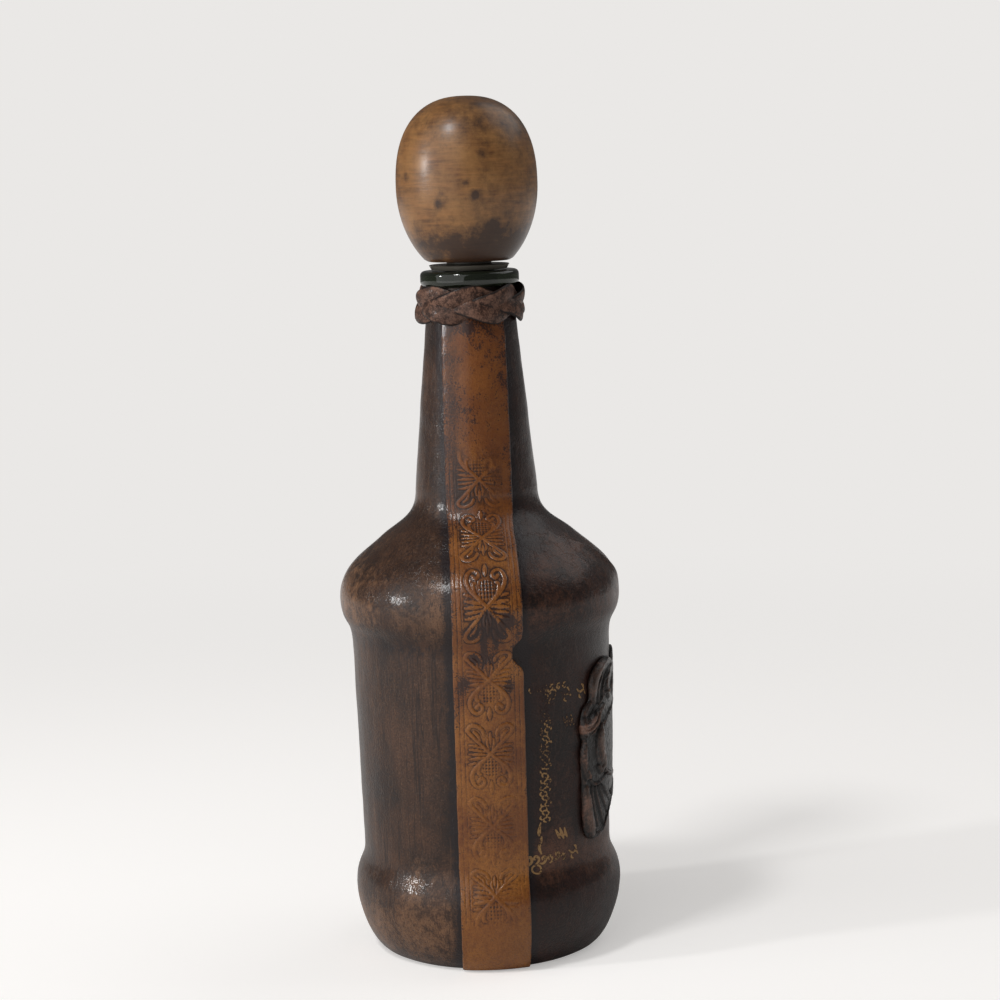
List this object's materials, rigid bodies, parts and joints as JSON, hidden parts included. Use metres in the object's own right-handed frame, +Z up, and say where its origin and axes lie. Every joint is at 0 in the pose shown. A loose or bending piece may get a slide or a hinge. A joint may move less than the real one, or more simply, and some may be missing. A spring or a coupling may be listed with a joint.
{
  "type": "leather-wrapped decanter",
  "caption": "Round glass decanter dressed in tooled leather with side straps, a plaited collar, a moulded front crest and a lift-out stopper with a turned wooden knob.",
  "frame": {"origin": "centre of the round base on the surface it stands on", "axes": "+Z up along the bottle's axis; -Y towards the front, the side with the crest; +X and -X through the middles of the two straps"},
  "size_m": [0.0952, 0.0924, 0.2804],
  "materials": {
    "green_glass": "dark green bottle glass, smooth and glossy",
    "front_leather": "near-black brown polished leather with worn gilt tooling",
    "back_leather": "dark brown polished leather, scratched",
    "strap_leather": "amber tan embossed leather, stained",
    "plait_leather": "mid-brown plaited leather",
    "crest_leather": "dark moulded leather, reddish on its worn edges",
    "knob_wood": "turned light brown wood, satin varnish",
    "plug_plastic": "near-black moulded plastic"
  },
  "bodies": {
    "bottle": {"glass_bottle": "green_glass", "base_leather": "back_leather", "front_leather": "front_leather", "back_leather": "back_leather", "left_strap": "strap_leather", "right_strap": "strap_leather", "plait_thong_a": "plait_leather", "plait_thong_b": "plait_leather", "plait_thong_c": "plait_leather", "front_crest": "crest_leather"},
    "stopper": {"stopper_plug": "plug_plastic", "stopper_knob": "knob_wood"}
  },
  "joints": [
    {"name": "stopper_lift", "type": "slide", "parent": "bottle", "child": "stopper", "axis": [0, 0, 1], "range_m": [0, 0.045]}
  ]
}
